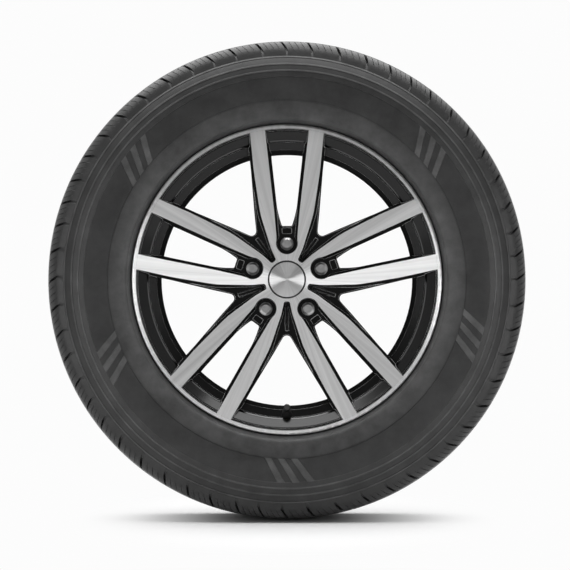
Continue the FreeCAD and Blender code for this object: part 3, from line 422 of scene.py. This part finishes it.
# %% [markdown]
# Rings with the same columns are joined by quads, which shade smoothly.
# Where a ring of many columns meets one of few, Blender's bridge tool could join them,
# but on uneven rings its result is hard to foresee. A strip of triangles walks round both rings
# instead, and always steps on the one whose next point comes first.

# %% Join the rings


class RingMesh:
    """Collects rings and the faces between them."""

    def __init__(self):
        self.points = []
        self.rings = []
        self.faces = []

    def add(self, ring):
        points, angles = ring
        start = sum(len(p) for p in self.points)
        self.points.append(points)
        self.rings.append((np.arange(start, start + len(points)), angles))

    def quads(self, a, b):
        ids_a, ids_b = self.rings[a][0], self.rings[b][0]
        count = len(ids_a)
        for i in range(count):
            j = (i + 1) % count
            self.faces.append((ids_a[i], ids_b[i], ids_b[j], ids_a[j]))

    def strip(self, a, b):
        (ids_a, angles_a), (ids_b, angles_b) = self.rings[a], self.rings[b]
        first = angles_a[0]
        nearest = int(np.argmin(turn_gap(angles_b, first)))
        ids_b = np.roll(ids_b, -nearest)
        walk_a = np.append(angles_a, first + FULL_TURN) - first
        walk_b = np.unwrap(np.roll(angles_b, -nearest)) - first
        walk_b -= round(walk_b[0] / FULL_TURN) * FULL_TURN
        walk_b = np.append(walk_b, walk_b[0] + FULL_TURN)
        i = j = 0
        while i < len(ids_a) or j < len(ids_b):
            here_a, here_b = ids_a[i % len(ids_a)], ids_b[j % len(ids_b)]
            if j >= len(ids_b) or (i < len(ids_a) and walk_a[i + 1] <= walk_b[j + 1]):
                i += 1
                self.faces.append((here_a, here_b, ids_a[i % len(ids_a)]))
            else:
                j += 1
                self.faces.append((here_a, here_b, ids_b[j % len(ids_b)]))

    def join_all(self):
        count = len(self.rings)
        for a in range(count):
            b = (a + 1) % count
            if len(self.rings[a][0]) == len(self.rings[b][0]):
                self.quads(a, b)
            else:
                self.strip(a, b)


trial = RingMesh()
trial.add(side_ring(SIDE_ROWS[-1], 1))
trial.add(plain_ring(INNER_ROWS[0], 1))
trial.strip(0, 1)
print("triangles between a sidewall ring and a plain one:", len(trial.faces))

# %% [markdown]
# The real tyre is one moulding, so all its rings go into one mesh: from the outboard shoulder
# over the crown, down to the inboard bead, along the liner and back up the outboard sidewall.
# A subdivision would round off the sipes, so the shading is smooth and sharp turns stay sharp.
# The tyre rides on the wheel and takes the place of the CAD model's plain tyre.

# %% Make the tyre
SHARP_ANGLE = math.radians(28)


def tyre_rings():
    """Every ring of the tyre in order, joined into a closed body."""
    rings = RingMesh()
    half = TREAD_ROWS + SHOULDER_ROWS
    order = [(tread_ring, row, -1) for row in reversed(half)]
    order += [(tread_ring, row, 1) for row in half[1:]]
    order += [(side_ring, row, 1) for row in SIDE_ROWS]
    order += [(plain_ring, row, 1) for row in INNER_ROWS]
    order += [(plain_ring, row, -1) for row in reversed(INNER_ROWS[:-1])]
    order += [(side_ring, row, -1) for row in reversed(SIDE_ROWS)]
    for make_ring, row, side in order:
        rings.add(make_ring(row, side))
    rings.join_all()
    return rings


def make_tyre():
    rings = tyre_rings()
    mesh = bpy.data.meshes.new("tyre_moulding")
    mesh.from_pydata(np.concatenate(rings.points).tolist(), [], rings.faces)
    mesh.update()
    mesh.shade_smooth()
    mesh.set_sharp_from_angle(angle=SHARP_ANGLE)
    piece = bpy.data.objects.new("tyre_moulding", mesh)
    bpy.context.scene.collection.objects.link(piece)
    return piece


tyre = make_tyre()
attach(tyre, "wheel")
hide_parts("tyre")
triangles = sum(len(p.vertices) - 2 for p in tyre.data.polygons)
print("tyre:", len(tyre.data.vertices), "points,", triangles, "triangles")

# %% [markdown]
# Materials are networks of nodes. Each could be written out in full, but the same few steps
# come back in all of them: a shader with constant values on its sockets, noise,
# a change of range and a fine grain. Each step gets a helper, so that a finish stays short.

# %% Helpers for materials
NOISE_SPAN = (0.25, 0.75)
GRAIN_DETAIL = 2.0


def shader(name, **values):
    """A new material and its Principled node, with constant values set on the sockets."""
    material = bpy.data.materials.new(name)
    material.use_nodes = True
    bsdf = material.node_tree.nodes["Principled BSDF"]
    for socket, value in values.items():
        bsdf.inputs[socket.replace("_", " ")].default_value = value
    return material, bsdf


def node(tree, kind, **values):
    """A node of a kind, with its settings and unlinked inputs given by name."""
    made = tree.nodes.new(kind)
    for name, value in values.items():
        if hasattr(made, name):
            setattr(made, name, value)
        else:
            made.inputs[name].default_value = value
    return made


def link(tree, output, socket):
    tree.links.new(output, socket)


def grey(value):
    return (value, value, value, 1.0)


def object_place(tree):
    return node(tree, "ShaderNodeTexCoord").outputs["Object"]


def noise(tree, place, scale, detail, **values):
    made = node(tree, "ShaderNodeTexNoise", Scale=scale, Detail=detail, **values)
    link(tree, place, made.inputs["Vector"])
    return made.outputs["Fac"]


def remap(tree, value, source, target, **settings):
    """Output that carries a value from one range over to another."""
    made = node(tree, "ShaderNodeMapRange", **settings)
    limits = ("From Min", "From Max", "To Min", "To Max")
    for name, limit in zip(limits, (*source, *target)):
        made.inputs[name].default_value = limit
    link(tree, value, made.inputs["Value"])
    return made.outputs["Result"]


def add_grain(tree, bsdf, scale, strength, height):
    """Roughens a surface with a fine noise."""
    bump = node(tree, "ShaderNodeBump", Strength=strength, Distance=height)
    link(tree, noise(tree, object_place(tree), scale, GRAIN_DETAIL), bump.inputs["Height"])
    link(tree, bump.outputs["Normal"], bsdf.inputs["Normal"])


def set_finishes(piece, *finishes):
    slots = piece.data.materials
    slots.clear()
    for finish in finishes:
        slots.append(finish)


print("materials before the finishes:", len(bpy.data.materials))

# %% [markdown]
# Tyre rubber is a very dark grey that never looks quite even. The smooth band beside the rim
# is lighter than the panel, and a light line on the crest of each rib is a painted highlight.
# A picture of rubber would need a mapping that fits a turned object. Here the distance
# from the axis picks the zone on a colour ramp, and noise breaks up each zone.

# %% Zones of the rubber
# Each zone: radius and grey.
RUBBER_ZONES = (
    (230.0, 0.056),
    (252.0, 0.044),
    (267.0, 0.034),
    (271.0, 0.020),
    (306.0, 0.018),
    (309.0, 0.019),
    (350.0, 0.015),
    (358.0, 0.026),
    (370.0, 0.026),
)
# Grey of the painted highlight on the crest of each rib.
RIB_PAINTED_HIGHLIGHT = 0.055
ACROSS_AXIS = (1.0, 0.0, 1.0)


def from_axis(tree):
    """Output with the vector from the wheel's axis to the place that is shaded."""
    flat = node(tree, "ShaderNodeVectorMath", operation="MULTIPLY")
    flat.inputs[1].default_value = ACROSS_AXIS
    link(tree, object_place(tree), flat.inputs[0])
    return flat.outputs["Vector"]


def zone_stops():
    """Radius and grey of every stop: the zones, with a painted highlight on the crest of each rib.
    """
    radii, greys = zip(*RUBBER_ZONES)
    stops = list(RUBBER_ZONES)
    for rib in RIB_RADII:
        plain = float(np.interp(rib, radii, greys))
        stops += [(rib - RIB_HALF, plain), (rib - RIB_HALF / 2, RIB_PAINTED_HIGHLIGHT)]
        stops += [(rib + RIB_HALF / 2, RIB_PAINTED_HIGHLIGHT), (rib + RIB_HALF, plain)]
    return sorted(stops)


def zone_colour(tree):
    """Output with the grey of the zone at the distance from the axis."""
    distance = node(tree, "ShaderNodeVectorMath", operation="LENGTH")
    link(tree, from_axis(tree), distance.inputs[0])
    first, *between, last = zone_stops()
    low, high = first[0], last[0]
    share = remap(tree, distance.outputs["Value"], (low * MM, high * MM), (0.0, 1.0))
    zone = node(tree, "ShaderNodeValToRGB")
    link(tree, share, zone.inputs["Fac"])
    stops = zone.color_ramp.elements
    stops[0].color, stops[1].color = grey(first[1]), grey(last[1])
    for radius, value in between:
        stops.new((radius - low) / (high - low)).color = grey(value)
    return zone.outputs["Color"]


print("stops of the ramp:", len(zone_stops()))

# %% [markdown]
# The bars in the panel are painted lighter than the rubber round them:
# a painted sheen on their smooth tops. A mask in one material could lighten them,
# but it would have to know the shape of every bar. The mesh already has their faces,
# so these get a second copy of the same rubber, painted lighter.

# %% Rubber of the tyre
CLOUD_SCALE = 38.0
CLOUD_DETAIL = 6.0
CLOUD_ROUGHNESS = 0.62
CLOUD_SPAN = (0.45, 1.55)
RUBBER_GRAIN = 900.0
RUBBER_GRAIN_STRENGTH = 0.16
RUBBER_GRAIN_HEIGHT = 0.6 * MM
# How many times lighter the bars' rubber is painted: a painted sheen.
BAR_PAINTED_SHEEN = 3.4
BAR_TOP = 0.4


def make_rubber(name, lift):
    """Rubber in zones, clouded by noise, and lightened by a factor, which on the bars is a painted
    sheen.
    """
    material, bsdf = shader(name, Roughness=0.44, Specular_IOR_Level=0.50)
    tree = material.node_tree
    cloud = noise(tree, object_place(tree), CLOUD_SCALE, CLOUD_DETAIL, Roughness=CLOUD_ROUGHNESS)
    factor = remap(tree, cloud, NOISE_SPAN, [end * lift for end in CLOUD_SPAN])
    tint = node(tree, "ShaderNodeVectorMath", operation="SCALE")
    link(tree, zone_colour(tree), tint.inputs[0])
    link(tree, factor, tint.inputs["Scale"])
    link(tree, tint.outputs["Vector"], bsdf.inputs["Base Color"])
    add_grain(tree, bsdf, RUBBER_GRAIN, RUBBER_GRAIN_STRENGTH, RUBBER_GRAIN_HEIGHT)
    return material


def mark_bars(mesh):
    """Gives the second material to the faces of the bars, and returns how many there are."""
    count = 0
    for face in mesh.polygons:
        x, y, z = face.center / MM
        radius = math.hypot(x, z)
        if PANEL[0] < radius < PANEL[1] and abs(y) > sidewall_y(radius) - PANEL_DEPTH + BAR_TOP:
            face.material_index = 1
            count += 1
    return count


rubber = make_rubber("tyre_rubber", 1.0)
# The bars' rubber is painted lighter, as a painted sheen.
bar_rubber_painted_sheen = make_rubber("bar_rubber_painted_sheen", BAR_PAINTED_SHEEN)
set_finishes(tyre, rubber, bar_rubber_painted_sheen)
set_finishes(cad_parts["tyre"], rubber)
print("faces of the bars:", mark_bars(tyre.data))

# %% [markdown]
# The rim is painted black, and then its front faces are turned bright on a lathe.
# The tool leaves fine circles, which stretch reflections into rays from the middle.
# Circles this fine would flicker if they were drawn, so an anisotropic metal,
# with its tangent running round the axis, stretches the reflections.
# A faint noise that changes only with the direction from the middle adds the rays' streaks.

# %% Turned metal
ROUND_THE_AXIS = 0.25
RAY_SCALE = 22.0
RAY_DETAIL = 3.0
RAY_SPREAD = 0.16


def turned_metal(name, brightness, roughness, anisotropy):
    material, bsdf = shader(name, Metallic=1.0, Roughness=roughness, Anisotropic=anisotropy)
    bsdf.inputs["Anisotropic Rotation"].default_value = ROUND_THE_AXIS
    tree = material.node_tree
    tangent = node(tree, "ShaderNodeTangent", direction_type="RADIAL", axis="Y")
    link(tree, tangent.outputs["Tangent"], bsdf.inputs["Tangent"])
    direction = node(tree, "ShaderNodeVectorMath", operation="NORMALIZE")
    link(tree, from_axis(tree), direction.inputs[0])
    rays = noise(tree, direction.outputs["Vector"], RAY_SCALE, RAY_DETAIL)
    tones = (brightness * (1 - RAY_SPREAD), brightness * (1 + RAY_SPREAD))
    link(tree, remap(tree, rays, NOISE_SPAN, tones), bsdf.inputs["Base Color"])
    return material


bright_cut = turned_metal("bright_cut", 0.88, 0.36, 0.80)
cap_metal = turned_metal("spun_cap", 0.74, 0.30, 0.94)
print("turned metals:", bright_cut.name, cap_metal.name)

# %% [markdown]
# On the real rim the black paint rounds every edge, and the edges catch the light as thin lines.
# A bevel modifier would change the CAD model's mesh. The Bevel node only bends the normals,
# and where the bent normal leaves the surface's own, a light grey is painted in: a painted
# highlight.
# Deep walls keep the dull surface of the casting, so they get a black without gloss.

# %% Black finishes
EDGE_ROUND = 1.8 * MM
EDGE_SAMPLES = 8
# Grey painted on the rounded edges: a painted highlight.
EDGE_PAINTED_HIGHLIGHT = 0.60
EDGE_TURN = (0.78, 0.97)
SMOOTH = "SMOOTHSTEP"


def black_finish(name, dark, roughness, gloss):
    """Black paint with a painted highlight on its rounded edges."""
    material, bsdf = shader(name, Roughness=roughness, Specular_IOR_Level=gloss)
    tree = material.node_tree
    edge = node(tree, "ShaderNodeBevel", samples=EDGE_SAMPLES, Radius=EDGE_ROUND)
    link(tree, edge.outputs["Normal"], bsdf.inputs["Normal"])
    surface = node(tree, "ShaderNodeNewGeometry")
    turn = node(tree, "ShaderNodeVectorMath", operation="DOT_PRODUCT")
    link(tree, edge.outputs["Normal"], turn.inputs[0])
    link(tree, surface.outputs["Normal"], turn.inputs[1])
    # Towards the edges the colour turns to this light grey, a painted highlight.
    tones = (EDGE_PAINTED_HIGHLIGHT, dark)
    tone = remap(tree, turn.outputs["Value"], EDGE_TURN, tones, interpolation_type=SMOOTH)
    link(tree, tone, bsdf.inputs["Base Color"])
    return material


black_paint = black_finish("black_paint", 0.002, 0.16, 0.34)
wall_black = black_finish("wall_black", 0.016, 0.50, 0.0)
print("black finishes:", black_paint.name, wall_black.name)

# %% [markdown]
# Which faces of the rim are bright? Those that the lathe tool reached: they look outboard
# and lie on the front of the spokes, the hub and the lip. They could be picked by hand,
# but a rule still holds when the mesh is made anew. The turned front is written as a height
# that depends on the distance from the axis: flat at the hub, then rising to the lip.

# %% Paint the faces of the rim
HUB_FACE_Y = -89.0
HUB_FLAT_RADIUS = 60.0
LIP_INNER_RADIUS = 229.4
FRONT_CROWN = 0.6
FRONT_SLACK = 0.9
FRONT_FACING = -0.90
LIP_FACING = -0.12
WALL_FACING = 0.35


def front_height(radius):
    """Height of the turned front at a distance from the axis."""
    share = np.clip((radius - HUB_FLAT_RADIUS) / (LIP_INNER_RADIUS - HUB_FLAT_RADIUS), 0, 1)
    return HUB_FACE_Y + (LIP_Y - HUB_FACE_Y) * share + FRONT_CROWN * np.sin(math.pi * share)


def face_vectors(mesh, name):
    """A vector of every face, such as its centre or normal, as rows of an array."""
    values = np.empty(len(mesh.polygons) * 3)
    mesh.polygons.foreach_get(name, values)
    return values.reshape(-1, 3)


def paint_rim(rim):
    """Sets the finish of every face, and returns how many are black, bright and dull walls."""
    mesh = rim.data
    set_finishes(rim, black_paint, bright_cut, wall_black)
    x, y, z = face_vectors(mesh, "center").T / MM
    facing = face_vectors(mesh, "normal")[:, 1]
    radius = np.hypot(x, z)
    bright = (facing < FRONT_FACING) & (y < front_height(radius) + FRONT_SLACK)
    bright |= (facing < LIP_FACING) & (radius > LIP_INNER_RADIUS)
    wall = (np.abs(facing) < WALL_FACING) & ~bright
    finish = (bright + 2 * wall).astype(np.int32)
    mesh.polygons.foreach_set("material_index", finish)
    mesh.update()
    return np.bincount(finish).tolist()


print("black, bright and wall faces of the rim:", paint_rim(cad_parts["alloy_rim"]))

# %% [markdown]
# The small pieces are plated bolts, black rubber and plastic, and brass.
# None of them is quite even: plating is cloudy, and rubber and plastic keep the grain
# of their mould. Flat colours would look like toys. One helper lets a colour drift
# with a coarse noise and roughens the surface with a fine one.

# %% Finishes of the small pieces
DRIFT_SCALE = 160.0
DRIFT_DETAIL = 4.0
DRIFT_STOPS = (0.30, 0.70)
SMALL_GRAIN = 2600.0
SMALL_GRAIN_HEIGHT = 0.2 * MM


def mottled(name, colour, spread, grain, **values):
    """A finish whose colour drifts by a share to both sides, with a grain of some strength."""
    material, bsdf = shader(name, **values)
    tree = material.node_tree
    tone = node(tree, "ShaderNodeValToRGB")
    for stop, place, factor in zip(tone.color_ramp.elements, DRIFT_STOPS, (1 - spread, 1 + spread)):
        stop.position = place
        stop.color = [channel * factor for channel in colour] + [1.0]
    drift = noise(tree, object_place(tree), DRIFT_SCALE, DRIFT_DETAIL)
    link(tree, drift, tone.inputs["Fac"])
    link(tree, tone.outputs["Color"], bsdf.inputs["Base Color"])
    add_grain(tree, bsdf, SMALL_GRAIN, grain, SMALL_GRAIN_HEIGHT)
    return material


bolt_steel = mottled("plated_steel", [0.52] * 3, 0.12, 0.05, Metallic=1.0, Roughness=0.34)
soft_black = mottled("valve_rubber", [0.014] * 3, 0.30, 0.30, Roughness=0.55)
cap_black = mottled("cap_plastic", [0.012] * 3, 0.25, 0.18, Roughness=0.35)
brass = mottled("valve_brass", [0.72, 0.52, 0.24], 0.10, 0.04, Metallic=1.0, Roughness=0.30)

FINISHES = {
    "lug_bolts": bolt_steel,
    "centre_cap_body": cap_black,
    "centre_cap_face": cap_metal,
    "centre_cap_ring": bolt_steel,
    "valve_body": soft_black,
    "valve_stem": brass,
    "valve_core": brass,
    "valve_pin": brass,
    "valve_cap": cap_black,
    "valve_cap_seal": soft_black,
}
for name, finish in FINISHES.items():
    set_finishes(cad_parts[name], finish)
print("finishes set on", len(FINISHES), "small pieces")

# %% [markdown]
# The wheel stands on a pale floor in front of a white background. More light on a backdrop
# would make it white too, but would spill onto the wheel. So the white is only for rays
# from the camera and for those that metal or glass mirrors, and lights nothing else.
# The floor is matt near the wheel, where it takes the shadow, and fades into the same white
# further away, in an oval that is longer towards the camera.

# %% Floor
FLOOR_GAP = 0.4 * MM
FLOOR_SIZE = 2.6
FLOOR_GREY = 0.93
FLOOR_FADE = (0.06, 0.33)
FLOOR_STRETCH = (1.0, 0.50, 1.0)
WHITE = 0.975


def combine(tree, operation, first, second):
    """Output of a calculation with two outputs."""
    made = node(tree, "ShaderNodeMath", operation=operation)
    link(tree, first, made.inputs[0])
    link(tree, second, made.inputs[1])
    return made.outputs["Value"]


def seen_or_mirrored(tree):
    """Output that is 1 for rays from the camera and for mirrored or refracted ones, else 0."""
    path = node(tree, "ShaderNodeLightPath").outputs
    mirrored = combine(tree, "MAXIMUM", path["Is Glossy Ray"], path["Is Transmission Ray"])
    return combine(tree, "MAXIMUM", path["Is Camera Ray"], mirrored)


def mix_shaders(tree, share, first, second, output):
    """Sends a mix of two shaders to the output node."""
    mix = node(tree, "ShaderNodeMixShader")
    link(tree, share, mix.inputs["Fac"])
    link(tree, first, mix.inputs[1])
    link(tree, second, mix.inputs[2])
    link(tree, mix.outputs["Shader"], tree.nodes[output].inputs["Surface"])


def make_floor_finish():
    material, bsdf = shader("pale_floor", Roughness=0.9, Specular_IOR_Level=0.0)
    bsdf.inputs["Base Color"].default_value = grey(FLOOR_GREY)
    tree = material.node_tree
    oval = node(tree, "ShaderNodeVectorMath", operation="MULTIPLY")
    oval.inputs[1].default_value = FLOOR_STRETCH
    link(tree, object_place(tree), oval.inputs[0])
    away = node(tree, "ShaderNodeVectorMath", operation="LENGTH")
    link(tree, oval.outputs["Vector"], away.inputs[0])
    distance = away.outputs["Value"]
    fade = remap(tree, distance, FLOOR_FADE, (0.0, 1.0), interpolation_type=SMOOTH)
    share = combine(tree, "MULTIPLY", fade, seen_or_mirrored(tree))
    white = node(tree, "ShaderNodeEmission", Color=grey(WHITE))
    mix_shaders(tree, share, bsdf.outputs["BSDF"], white.outputs["Emission"], "Material Output")
    return material


def make_floor():
    place = (0, 0, tyre_low.z - FLOOR_GAP)
    bpy.ops.mesh.primitive_plane_add(size=FLOOR_SIZE, location=place)
    floor = bpy.context.object
    floor.name = "floor"
    floor.data.materials.append(make_floor_finish())
    return floor


floor = make_floor()
print("floor at z =", round(floor.location.z, 4), "m")

# %% [markdown]
# Around the floor lies the world. A plain white world would light the wheel from all sides
# and wash out its shapes. This one gives only a little light, is white for the camera,
# and in mirrors gets darker towards the front, where the camera stands in a dim studio.

# %% Background
AMBIENT = 0.08
FRONT_DIM = 0.24
FRONT_FADE = (-0.70, 0.05)


def make_world():
    world = bpy.data.worlds.new("studio")
    bpy.context.scene.world = world
    world.use_nodes = True
    tree = world.node_tree
    ambient = tree.nodes["Background"]
    ambient.inputs["Color"].default_value = grey(AMBIENT)
    axes = node(tree, "ShaderNodeSeparateXYZ")
    direction = node(tree, "ShaderNodeTexCoord").outputs["Generated"]
    link(tree, direction, axes.inputs["Vector"])
    tones = (FRONT_DIM, WHITE)
    mirrored = remap(tree, axes.outputs["Y"], FRONT_FADE, tones, interpolation_type=SMOOTH)
    camera_ray = node(tree, "ShaderNodeLightPath").outputs["Is Camera Ray"]
    seen = remap(tree, camera_ray, (0.0, 1.0), (0.0, WHITE))
    white = node(tree, "ShaderNodeBackground")
    link(tree, combine(tree, "MAXIMUM", mirrored, seen), white.inputs["Color"])
    backgrounds = ambient.outputs["Background"], white.outputs["Background"]
    mix_shaders(tree, seen_or_mirrored(tree), *backgrounds, "World Output")
    return world


print("world:", make_world().name)

# %% [markdown]
# The light is that of a small studio. One small lamp would give hard spots on the metal,
# so the lamps are large and soft: a wide one above and behind the wheel, a long narrow one
# above and in front, which the black slopes of the windows mirror, and an upright strip
# at each side. The strips stand at the height of the axle, so that turned metal
# shows them as two bright wedges, left and right of the middle.

# %% Lamps
# Each lamp: place and target in metres, width and height in metres, watts.
LAMPS = {
    "overhead": ((0.0, 0.6, 2.3), (0.0, 0.3, 0.0), (3.6, 2.2), 98.0),
    "front_top": ((-0.2, -1.0, 2.2), (0.0, 0.0, 0.0), (3.4, 0.6), 33.0),
    "left_strip": ((-1.7, -2.6, 0.0), (0.0, 0.0, 0.0), (0.5, 1.2), 17.0),
    "right_strip": ((1.7, -2.6, 0.0), (0.0, 0.0, 0.0), (0.5, 1.2), 17.0),
}


def turn_towards(thing, target):
    """Turns a lamp or a camera from its place towards a target."""
    direction = Vector(target) - Vector(thing.location)
    thing.rotation_euler = direction.to_track_quat("-Z", "Y").to_euler()


def add_lamp(name, place, target, size, watts):
    data = bpy.data.lights.new(name, "AREA")
    data.shape = "RECTANGLE"
    data.size, data.size_y = size
    data.energy = watts
    lamp = bpy.data.objects.new(name, data)
    bpy.context.scene.collection.objects.link(lamp)
    lamp.location = place
    turn_towards(lamp, target)


for name, values in LAMPS.items():
    add_lamp(name, *values)
print("lamps:", ", ".join(LAMPS))

# %% [markdown]
# The camera looks at the outboard face from four metres away, a little below the axle.
# Its lens could be found by trying. Here it follows from the size of a pixel
# on the plane of the rim's lip, so that the wheel fills the picture as it should.

# %% Camera
PICTURE_WIDTH = 570
PIXEL = 1.5169 * MM
CAMERA_DISTANCE = 4.0
CAMERA_HEIGHT = -0.06
AIM_PIXELS = (-1.9, -5.6)


def make_camera():
    data = bpy.data.cameras.new("camera")
    camera = bpy.data.objects.new("camera", data)
    bpy.context.scene.collection.objects.link(camera)
    lip = LIP_Y * MM
    camera.location = (0.0, lip - CAMERA_DISTANCE, CAMERA_HEIGHT)
    turn_towards(camera, (AIM_PIXELS[0] * PIXEL, lip, AIM_PIXELS[1] * PIXEL))
    data.lens = data.sensor_width * CAMERA_DISTANCE / (PICTURE_WIDTH * PIXEL)
    bpy.context.scene.camera = camera
    return camera


camera = make_camera()
print("lens:", round(camera.data.lens, 1), "mm")

# %% [markdown]
# Blender's filmic views would soften the colours, so the Standard one shows them as written.

# %% Finish
bpy.context.scene.view_settings.view_transform = "Standard"
